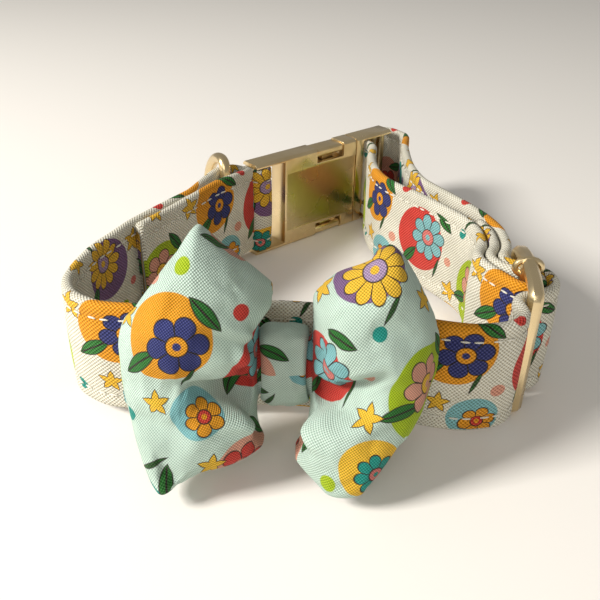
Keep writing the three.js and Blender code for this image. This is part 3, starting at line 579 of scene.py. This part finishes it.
# across, top, bottom, depth, forward: shares of the sizes above
BOW_ROWS = [
    (-1.00, 0.30, 0.14, 0.10, 0.55), (-0.97, 0.42, -0.08, 0.30, 0.58),
    (-0.90, 0.54, -0.36, 0.52, 0.62), (-0.82, 0.66, -0.62, 0.74, 0.68),
    (-0.74, 0.77, -0.77, 0.92, 0.70), (-0.64, 0.94, -0.73, 1.00, 0.68),
    (-0.53, 1.12, -0.67, 1.00, 0.64), (-0.43, 0.99, -0.62, 0.98, 0.58),
    (-0.33, 0.84, -0.57, 0.92, 0.50), (-0.25, 0.69, -0.52, 0.74, 0.36),
    (-0.20, 0.57, -0.45, 0.56, 0.24), (0.20, 0.54, -0.50, 0.58, 0.24),
    (0.25, 0.64, -0.60, 0.76, 0.36), (0.31, 0.75, -0.69, 0.92, 0.50),
    (0.38, 0.83, -0.77, 0.98, 0.60), (0.48, 0.90, -0.76, 1.00, 0.64),
    (0.58, 0.98, -0.66, 1.00, 0.66), (0.67, 0.98, -0.54, 0.94, 0.66),
    (0.76, 0.79, -0.42, 0.80, 0.64), (0.84, 0.62, -0.27, 0.58, 0.60),
    (0.90, 0.48, -0.12, 0.34, 0.58), (0.94, 0.34, 0.04, 0.10, 0.56),
]


def between_rows(x):
    """The section at x, on a smooth line through the rows of that side"""
    rows = [r for r in BOW_ROWS if (r[0] < 0) == (x < 0)]
    i = max(1, min(len(rows) - 1, sum(1 for r in rows if r[0] < x)))
    a, b, c, d = rows[max(i - 2, 0)], rows[i - 1], rows[i], rows[min(i + 1, len(rows) - 1)]
    t = min(max((x - b[0]) / (c[0] - b[0]), 0.0), 1.0)
    return [0.5 * (2 * q + (r - p) * t + (2 * p - 5 * q + 4 * r - s) * t * t
                   + (3 * q - p - 3 * r + s) * t ** 3) for p, q, r, s in zip(a, b, c, d)][1:]


# Folds on the front: places in mm from the knot's centre, then width and depth in mm
FOLDS = [
    ([(-4.2, -1.6), (-6.6, -2.2), (-9.8, -0.6), (-14.5, 1.8), (-20.5, 3.0)], 1.1, 5.6),
    ([(-4.6, -3.6), (-9.5, -3.2), (-15.0, -0.8)], 2.2, 2.2),
    ([(-4.8, 5.4), (-8.5, 8.2), (-13.5, 11.6), (-17.5, 12.8)], 1.1, 2.2),
    ([(-4.6, 7.6), (-5.0, 12.0), (-7.4, 17.0)], 1.2, 1.8),
    ([(-4.6, 1.2), (-8.0, 3.2), (-12.0, 5.4)], 1.2, 1.6),
    ([(-4.8, -6.2), (-6.4, -8.2), (-7.4, -10.0)], 1.0, 1.8),
    ([(4.2, 0.4), (7.2, -1.2), (10.6, -0.8), (15.5, 2.8), (19.0, 4.8)], 1.1, 5.4),
    ([(4.6, 3.6), (8.0, 7.0), (11.5, 11.2)], 1.3, 2.0),
    ([(4.6, 6.8), (6.2, 11.2), (8.4, 15.8)], 1.2, 1.5),
    ([(4.4, -5.0), (5.8, -8.0), (7.4, -10.6), (9.4, -12.4)], 1.0, 4.6),
    ([(4.8, -3.4), (8.4, -4.0), (12.6, -3.4), (18.0, -2.6)], 1.1, 3.0),
    ([(-24.0, -5.0), (-19.0, -6.5), (-14.0, -5.8)], 2.2, 1.0),
    ([(12.5, 15.0), (18.0, 12.5), (22.5, 7.0)], 2.6, 1.0),
]


def from_line(points, x, z):
    """How far x, z is from a line through points, above it positive, and how far along, 0 to 1"""
    best, side, along = 1e9, 1.0, 0.0
    for i, ((ax, az), (bx, bz)) in enumerate(zip(points, points[1:])):
        dx, dz = bx - ax, bz - az
        t = min(max(((x - ax) * dx + (z - az) * dz) / (dx * dx + dz * dz), 0.0), 1.0)
        away = math.hypot(x - ax - dx * t, z - az - dz * t)
        if away < best:
            best, along = away, (i + t) / (len(points) - 1)
            side = 1.0 if (dx * (z - az) - dz * (x - ax)) * dx > 0 else -1.0
    return best * side, along


def fold_depth(x, z):
    depth = 0.0
    for points, width, deep in FOLDS:
        away, along = from_line(points, x, z)
        wide = width * (1 + 0.6 * along) * (0.7 if away > 0 else 1.7)
        near = abs(away) / wide
        depth += deep * math.cos(along * math.pi / 2) ** 0.7 * (math.exp(-near ** 1.3)
                                                               - 0.25 * math.exp(-(near - 2.2) ** 2))
    return depth


print("bow rows:", len(BOW_ROWS), "folds:", len(FOLDS))

# %% Shape the bow
BOW_COLUMNS, BOW_ROUND = 120, 120
NECK_COLUMNS, PANEL_CUTS = (51, 73), (34, 86)
NECK_SHARE, NECK_BLEND = 0.17, 0.035     # the gathered middle and its edge, share of the width
LOW_REACH, BACK_DEPTH = 12.0, 0.7        # how far the lower tips come forward, and the flatter back
VALLEY_LENGTH, VALLEY_HALF = 13.0, 4.0   # the valley beside the knot, mm
LEAN, UPPER_RIGHT_LEAN = 10.4, 0.4       # how far a lobe leans over the knot, mm and share
KNOT_TOP, KNOT_FRONT = 8.3, 8.5          # beyond these a lobe is clear of the knot, mm
SMALLER = (0.975, 0.96, 0.965)           # the lobes start a little small and swell to their size


def squared(angle):
    return math.copysign(abs(math.cos(angle)) ** 0.8, math.cos(angle))


def bow_place(i, j):
    x = -1.0 + 1.94 * i / BOW_COLUMNS
    angle = 2 * math.pi * (j % BOW_ROUND) / BOW_ROUND
    up, front = math.sin(angle), math.cos(angle)
    if abs(x) <= NECK_SHARE:
        top, bottom, depth, forward = (NECK_HEIGHT / HALF_HEIGHT, -NECK_HEIGHT / HALF_HEIGHT,
                                       NECK_DEPTH / HALF_DEPTH, 0.0)
    else:
        top, bottom, depth, forward = between_rows(x)
        blend = min((abs(x) - NECK_SHARE) / NECK_BLEND, 1.0)
        blend = blend * blend * (3 - 2 * blend)
        top = top * blend + NECK_HEIGHT / HALF_HEIGHT * (1 - blend)
        bottom = bottom * blend - NECK_HEIGHT / HALF_HEIGHT * (1 - blend)
        depth = depth * blend + NECK_DEPTH / HALF_DEPTH * (1 - blend)
        forward *= blend
    z = ((top + bottom) / 2 + (top - bottom) / 2 * up) * HALF_HEIGHT
    deep = depth * HALF_DEPTH
    low = max(0.0, -z / HALF_HEIGHT) if abs(x) > NECK_SHARE else 0.0
    puffed = deep * (1.0 if front > 0 else BACK_DEPTH)
    y = -forward * HALF_DEPTH - LOW_REACH * low * low - puffed * squared(angle)
    across = x * HALF_WIDTH
    if abs(x) > NECK_SHARE:
        open_share = min((abs(x) - NECK_SHARE) / 0.06, 1.0)
        beyond = (abs(x) - NECK_SHARE) * HALF_WIDTH
        if front > 0:
            from_valley = (z + 1.2 - 0.3 * beyond) / VALLEY_HALF
            gather = max(0.0, 1 - beyond / VALLEY_LENGTH) * math.exp(-from_valley ** 2)
            valley = 0.95 * gather * max(0.0, -y - NECK_DEPTH - 1.5)
            fold = min(fold_depth(across, z), 0.8 * (deep - valley))
            y += (valley + fold) * front ** 0.4 * open_share
        pleat = 0.7 * math.exp(-beyond / 5.5) * math.sin(9 * angle + (1.0 if x > 0 else 0.2)) * open_share
        puff = 0.45 * noise(Vector((across * 0.13, z * 0.13, 4.0 if front > 0 else 9.0)))
        clear = min(max((abs(z) - KNOT_TOP) / 6, (-y - KNOT_FRONT) / 5, 0.0), 1.0)
        near = min(1.0, (abs(x) - NECK_SHARE) / 0.08) * max(0.0, 1 - abs(x) / 0.5)
        share = UPPER_RIGHT_LEAN if x > 0 and z > 0 else 1.0
        across -= math.copysign(LEAN * share * clear * near, x)
        z += up * (pleat + puff * 0.6)
        y -= front * (pleat + puff)
        return Vector((across * SMALLER[0], y * SMALLER[1], z * SMALLER[2]))
    return Vector((across, y, z))


def in_bow_frame(place):
    y, z = place.y, place.z
    turned = Vector((place.x, y * math.cos(BOW_TILT) - z * math.sin(BOW_TILT),
                     y * math.sin(BOW_TILT) + z * math.cos(BOW_TILT)))
    return (turned + BOW_CENTRE) * MM


bow_grid = [[bow_place(i, j) for j in range(BOW_ROUND + 1)] for i in range(BOW_COLUMNS + 1)]


def on_seam(a, b):
    """Two lines just behind the top and bottom, the knot's edges and both ends are cut"""
    lengthwise = a[1] == b[1] and a[1] in PANEL_CUTS
    return lengthwise or (a[0] == b[0] and a[0] in (0, *NECK_COLUMNS, BOW_COLUMNS))


bow_bm = cloth_grid(
    BOW_COLUMNS, BOW_ROUND,
    lambda i, j: (i, j), lambda i, j: in_bow_frame(bow_grid[i][j]), on_seam)
bow = finished(bow_bm, "padded_bow", bow_cloth, "collar", "bow_body")
print("bow:", len(bow.data.polygons), "faces")

# %% [markdown]
# The sewn pockets are a little too large for their filling, so real cloth buckles between the
# knot and the corners. A short cloth simulation makes those small wrinkles: the cloth grows by
# a few per cent under light pressure, held at the knot. It runs on a copy ten times as large,
# because the solver works best near a metre. The bow takes the result, one subdivision finer.

# %% Let the cloth settle
ENLARGED, FRAMES, FARTHEST = 10.0, 20, 1.6 * MM
PRESSURE, GROWTH = 4.0, 0.06
HELD_WITHIN, FREE_BEYOND = 6.0, 9.0      # across from the knot's middle, mm


def settle(piece, held):
    """Moves a piece's vertices to where its cloth settles; held gives 1 where it may not move"""
    copy = bpy.data.objects.new("settling", piece.data.copy())
    bpy.context.scene.collection.objects.link(copy)
    middle = sum((v.co for v in copy.data.vertices), Vector()) / len(copy.data.vertices)
    for vert in copy.data.vertices:
        vert.co = (vert.co - middle) * ENLARGED
    group = copy.vertex_groups.new(name="held")
    for vert, weight in zip(copy.data.vertices, held):
        group.add([vert.index], weight, "REPLACE")
    cloth = copy.modifiers.new("cloth", "CLOTH")
    cloth.settings.quality = 6
    cloth.settings.mass = 0.3
    cloth.settings.tension_stiffness = cloth.settings.compression_stiffness = 30.0
    cloth.settings.shear_stiffness = 15.0
    cloth.settings.bending_stiffness = 0.3
    cloth.settings.shrink_min = -GROWTH
    cloth.settings.use_pressure = True
    cloth.settings.uniform_pressure_force = PRESSURE
    cloth.settings.vertex_group_mass = "held"
    cloth.settings.effector_weights.gravity = 0.0
    cloth.point_cache.frame_start, cloth.point_cache.frame_end = 1, FRAMES
    for step in range(1, FRAMES + 1):
        bpy.context.scene.frame_set(step)
    result = copy.evaluated_get(bpy.context.evaluated_depsgraph_get()).data
    moves = [moved.co / ENLARGED + middle - vert.co
             for vert, moved in zip(piece.data.vertices, result.vertices)]
    for vert, move in zip(piece.data.vertices, moves):
        vert.co += move * min(1.0, FARTHEST / max(move.length, 1e-9))
    bpy.context.scene.frame_set(1)
    bpy.data.objects.remove(copy)
    return max(move.length for move in moves) / MM


beside_knot = [abs(v.co.x / MM - BOW_CENTRE.x) for v in bow.data.vertices]
free = [(reach - HELD_WITHIN) / (FREE_BEYOND - HELD_WITHIN) for reach in beside_knot]
farthest = settle(bow, [1.0 - min(max(share, 0.0), 1.0) for share in free])
print("the cloth moved by up to", round(farthest, 2), "mm")
finer = bow.modifiers.new("finer", "SUBSURF")
finer.levels = finer.render_levels = 1

# %% [markdown]
# Now the bow is cut at its seams and laid flat, so the print is hardly stretched. Each flat
# piece gets its real area in millimetres and is turned upright, as seen from the front.

# %% Lay the bow's cloth flat
def cut_sheets(mesh):
    """The faces of a mesh in groups that its seams part from each other"""
    by_edge = {}
    for face in mesh.polygons:
        for key in face.edge_keys:
            by_edge.setdefault(key, []).append(face.index)
    seams = {tuple(sorted(e.vertices)) for e in mesh.edges if e.use_seam}
    groups, seen = [], set()
    for first in mesh.polygons:
        if first.index in seen:
            continue
        seen.add(first.index)
        group, open_ends = [], [first.index]
        while open_ends:
            face = mesh.polygons[open_ends.pop()]
            group.append(face)
            for key in face.edge_keys:
                if tuple(sorted(key)) not in seams:
                    fresh = [k for k in by_edge[key] if k not in seen]
                    seen.update(fresh)
                    open_ends.extend(fresh)
        groups.append(group)
    return groups


bpy.context.view_layer.objects.active = bow
bow.select_set(True)
bpy.ops.object.mode_set(mode="EDIT")
bpy.ops.mesh.select_all(action="SELECT")
bpy.ops.uv.unwrap(method="MINIMUM_STRETCH", iterations=30, margin=0.01)
bpy.ops.object.mode_set(mode="OBJECT")

flat = bow.data.uv_layers["flat_cloth"].uv


def flat_area(face):
    corners = [complex(*flat[loop].vector) for loop in face.loop_indices]
    return abs(sum((a.conjugate() * b).imag for a, b in zip(corners, corners[1:] + corners[:1]))) / 2


for faces in cut_sheets(bow.data):
    pairs = []
    for face in faces:
        for loop, vert in zip(face.loop_indices, face.vertices):
            spot = bow.data.vertices[vert].co / MM - BOW_CENTRE
            pairs.append((complex(*flat[loop].vector), complex(spot.x, spot.z)))
    mid_flat = sum(p for p, q in pairs) / len(pairs)
    mid_seen = sum(q for p, q in pairs) / len(pairs)
    turn = sum((p - mid_flat).conjugate() * (q - mid_seen) for p, q in pairs)
    real_area = sum(face.area for face in faces) / MM ** 2
    turn *= math.sqrt(real_area / sum(flat_area(face) for face in faces)) / abs(turn)
    for face in faces:
        for loop in face.loop_indices:
            there = turn * (complex(*flat[loop].vector) - mid_flat) + mid_seen
            flat[loop].vector = (there.real, there.imag)
    print("laid flat:", len(faces), "faces,", round(real_area), "square mm")

# %% [markdown]
# The knot is a short band of the same cloth, folded to a double edge and pulled tight round
# the middle. It is softly crinkled where it is pulled.

# %% Knot band
KNOT_WIDTH, KNOT_ROUND = 8.9, 72
band = [(-1.0, 0.25), (-1.0, 0.8), (-0.86, 1.45), (-0.7, 1.7), (-0.5, 1.75), (-0.25, 1.85),
        (0.0, 1.9), (0.25, 1.85), (0.5, 1.75), (0.7, 1.7), (0.86, 1.45), (1.0, 0.8), (1.0, 0.25),
        (0.6, 0.1), (-0.6, 0.1)]
band_run = [0.0]
for (xa, ra), (xb, rb) in zip(band, band[1:] + band[:1]):
    band_run.append(band_run[-1] + math.hypot((xb - xa) * KNOT_WIDTH / 2, rb - ra))


def knot_place(i, j):
    angle = 2 * math.pi * (i % KNOT_ROUND) / KNOT_ROUND
    share, out = band[j % len(band)]
    crinkle = 0.34 * math.sin(share * 8.0 + 1.6 * math.sin(2 * angle)) * (out > 1.0)
    crinkle += 0.8 * noise(Vector((share * 1.7, angle * 2.6, 7.0))) * (out > 1.0)
    reach_y = NECK_DEPTH + 0.35 + out + crinkle
    reach_z = NECK_HEIGHT + 0.35 + out + crinkle * 0.5
    pinch = 1.0 - 0.06 * math.cos(2 * angle) - 0.05 * math.sin(angle + 0.6) * share
    return in_bow_frame(Vector((share * KNOT_WIDTH / 2 * pinch, -squared(angle) * reach_y,
                                math.sin(angle) * reach_z)))


knot_bm = cloth_grid(
    KNOT_ROUND, len(band),
    lambda i, j: (TILE[1] * i / KNOT_ROUND, band_run[j]), knot_place)
knot = finished(knot_bm, "knot_band", knot_cloth, "collar", "bow_knot")
softening = knot.modifiers.new("softening", "SUBSURF")
softening.levels = softening.render_levels = 1
print("knot:", len(knot.data.polygons), "faces")

# %% [markdown]
# The collar stands on a plain pale floor. A soft light stands high on the left, so the inside
# of the left half lies in shade, and a weaker one in front keeps the folds readable.

# %% Floor and light
floor_bm = bmesh.new()
bmesh.ops.create_grid(floor_bm, x_segments=1, y_segments=1, size=3.0)
floor_mesh = bpy.data.meshes.new("floor")
floor_bm.to_mesh(floor_mesh)
floor_bm.free()
floor_finish, n, skin = new_finish("pale_floor")
skin.inputs["Base Color"].default_value = paint(246, 242, 236)
skin.inputs["Roughness"].default_value = 0.9
floor_mesh.materials.append(floor_finish)
floor = bpy.data.objects.new("floor", floor_mesh)
bpy.context.scene.collection.objects.link(floor)

world = bpy.data.worlds.new("studio")
world.use_nodes = True
world.node_tree.nodes["Background"].inputs["Color"].default_value = (1.0, 0.985, 0.95, 1.0)
world.node_tree.nodes["Background"].inputs["Strength"].default_value = 0.30
bpy.context.scene.world = world


def soft_light(name, place, target, size, power):
    light = bpy.data.lights.new(name, "AREA")
    light.size, light.energy = size, power
    light.color = (1.0, 0.97, 0.92)
    lamp = bpy.data.objects.new(name, light)
    lamp.location = place
    lamp.rotation_mode = "QUATERNION"
    lamp.rotation_quaternion = (Vector(target) - Vector(place)).to_track_quat("-Z", "Y")
    bpy.context.scene.collection.objects.link(lamp)


soft_light("key", (-0.60, -0.26, 0.46), (0, 0, 0.02), 0.20, 8.0)
soft_light("fill", (-0.15, -0.75, 0.40), (0, 0, 0.02), 0.40, 1.6)
print("lights: key and fill")
